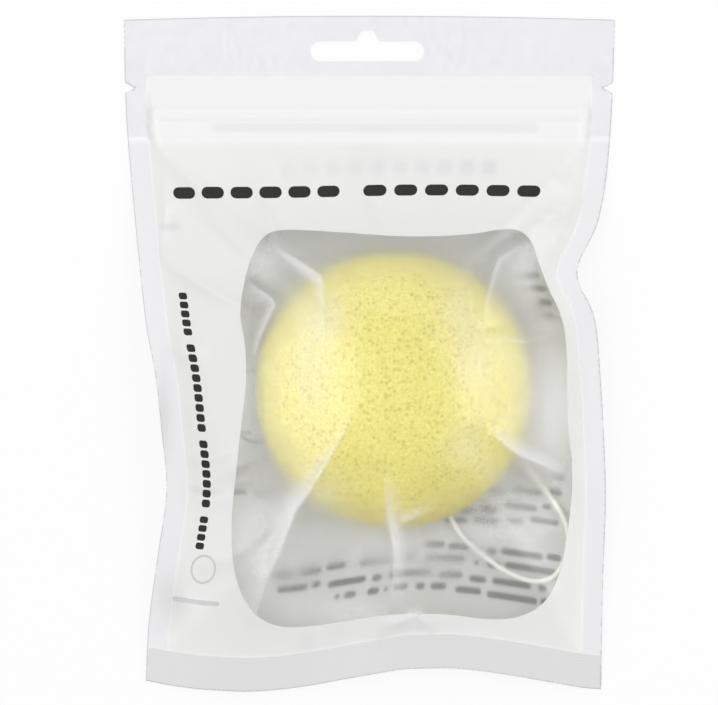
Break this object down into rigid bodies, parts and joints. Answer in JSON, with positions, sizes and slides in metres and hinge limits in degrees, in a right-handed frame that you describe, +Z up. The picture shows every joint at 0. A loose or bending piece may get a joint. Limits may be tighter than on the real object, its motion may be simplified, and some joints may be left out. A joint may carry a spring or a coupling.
{
  "type": "konjac sponge in a pouch",
  "caption": "Domed round face sponge with a cotton hanging loop, sealed in a flat film pouch with a clear window, press zip and hang slot.",
  "frame": {"origin": "centre of the pouch's outline on the surface it lies on", "axes": "+Y towards the header with the hang slot, +X to the right seen from the window side, +Z up out of the window"},
  "size_m": [0.13, 0.1788, 0.0267],
  "materials": {
    "frosted_film": "frosted white translucent film, satin",
    "clear_film": "slightly hazy clear film",
    "back_film": "hazy translucent film with grey bars printed on it",
    "zip_plastic": "milky soft extrusion",
    "konjac": "fine open pores, pale yellow",
    "cotton": "twisted natural cotton"
  },
  "bodies": {
    "pouch": {"front_film": "frosted_film", "front_window": "clear_film", "back_film": "back_film", "zip_rib_strip": "zip_plastic", "zip_groove_strip": "zip_plastic"},
    "sponge": {"sponge": "konjac", "cord_loop": "cotton", "cord_knot": "cotton"}
  },
  "joints": [
    {"name": "sponge_turn", "type": "hinge", "parent": "pouch", "child": "sponge", "pos_m": [0.0063, -0.00945, 0], "axis": [0, 0, 1], "range_deg": [-15, 3]}
  ]
}
